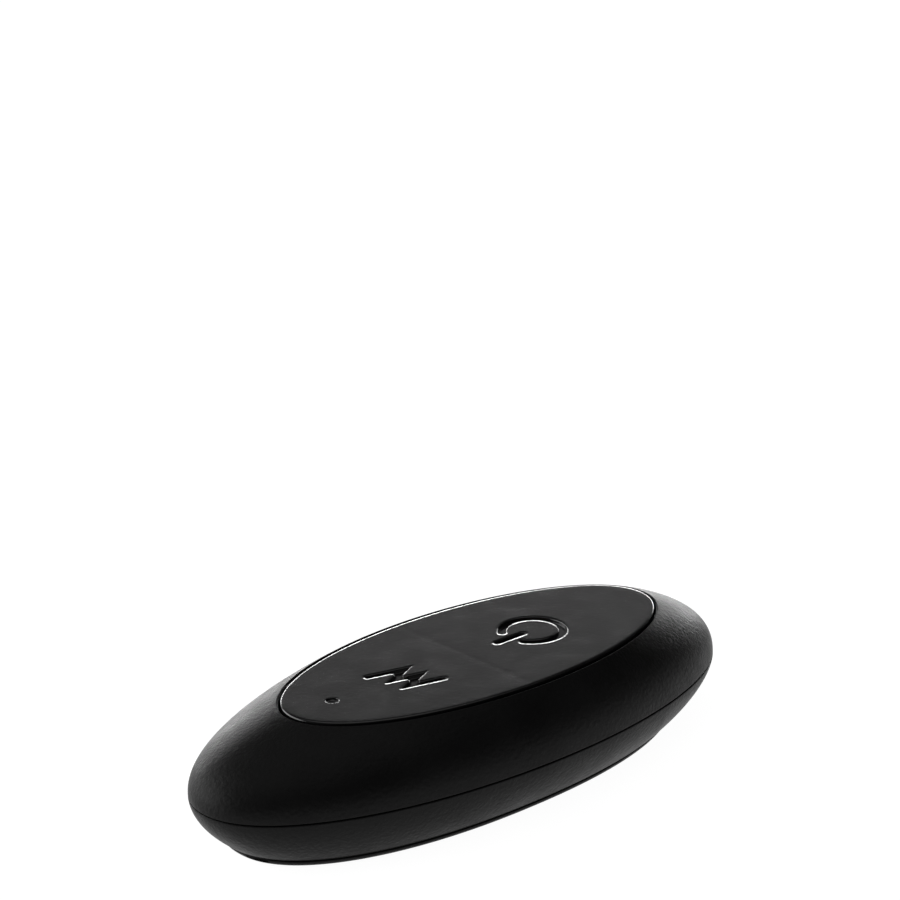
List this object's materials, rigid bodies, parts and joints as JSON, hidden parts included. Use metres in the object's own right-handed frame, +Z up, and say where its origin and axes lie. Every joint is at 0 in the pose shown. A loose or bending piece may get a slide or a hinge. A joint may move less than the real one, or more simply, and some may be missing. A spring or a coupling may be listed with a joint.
{
  "type": "massager remote control",
  "caption": "Palm-size pebble remote control with an oval two-key pad, an indicator window, a girth seam and a push-fit battery cover underneath.",
  "frame": {"origin": "middle of the flat bottom face, below the centre of the girth seam", "axes": "+X along the length towards the power key, +Y across the width, +Z up through the key pad"},
  "size_m": [0.072, 0.032, 0.0137],
  "materials": {
    "soft_black": "soft-touch coating, very fine leather-like mottle",
    "pad_graphite": "satin soft skin",
    "inner_black": "plain moulded ABS",
    "tray_white": "natural moulded nylon",
    "smoked_lens": "smoked clear acrylic",
    "led_white": "moulded LED package",
    "board_green": "solder mask",
    "steel": "bright plated steel",
    "plunger_tan": "moulded nylon",
    "chip_black": "moulded epoxy",
    "ceramic_tan": "ceramic",
    "copper": "gold-plated copper track",
    "cell_nickel": "nickel-plated steel, satin",
    "spring_bronze": "tinned phosphor bronze"
  },
  "bodies": {
    "housing": {"upper_shell": "soft_black", "lower_shell": "soft_black", "crease_strip": "pad_graphite", "keypad_bridge": "inner_black", "battery_tray": "tray_white", "status_led": "led_white", "circuit_board": "board_green", "board_screws": "steel", "power_switch_body": "inner_black", "mode_switch_body": "inner_black", "power_switch_frame": "steel", "mode_switch_frame": "steel", "radio_chip": "chip_black", "crystal": "steel", "capacitors": "ceramic_tan", "resistors": "chip_black", "antenna": "copper", "coin_cell": "cell_nickel", "negative_contact": "spring_bronze", "positive_contact": "spring_bronze"},
    "power_key": {"power_key": "inner_black", "power_pad": "pad_graphite"},
    "mode_key": {"mode_key": "inner_black", "mode_pad": "pad_graphite", "light_pipe": "smoked_lens"},
    "power_plunger": {"power_switch_plunger": "plunger_tan"},
    "mode_plunger": {"mode_switch_plunger": "plunger_tan"},
    "battery_cover": {"battery_cover": "soft_black"}
  },
  "joints": [
    {"name": "power_key_press", "type": "hinge", "parent": "housing", "child": "power_key", "pos_m": [-0.0004, 0, 0.01195], "axis": [0, 1, 0], "range_deg": [0, 1.4], "stiffness_Nm_per_rad": 0.6},
    {"name": "mode_key_press", "type": "hinge", "parent": "housing", "child": "mode_key", "pos_m": [-0.0004, 0, 0.01195], "axis": [0, -1, 0], "range_deg": [0, 1.6], "stiffness_Nm_per_rad": 0.6},
    {"name": "power_plunger_travel", "type": "slide", "parent": "housing", "child": "power_plunger", "axis": [0, 0, -1], "range_m": [0, 0.00026]},
    {"name": "mode_plunger_travel", "type": "slide", "parent": "housing", "child": "mode_plunger", "axis": [0, 0, -1], "range_m": [0, 0.00026]},
    {"name": "battery_cover_pull", "type": "slide", "parent": "housing", "child": "battery_cover", "axis": [0, 0, -1], "range_m": [0, 0.012]}
  ],
  "couplings": [
    {"joint": "power_plunger_travel", "follows": "power_key_press", "m_per_rad": 0.0103},
    {"joint": "mode_plunger_travel", "follows": "mode_key_press", "m_per_rad": 0.009}
  ]
}
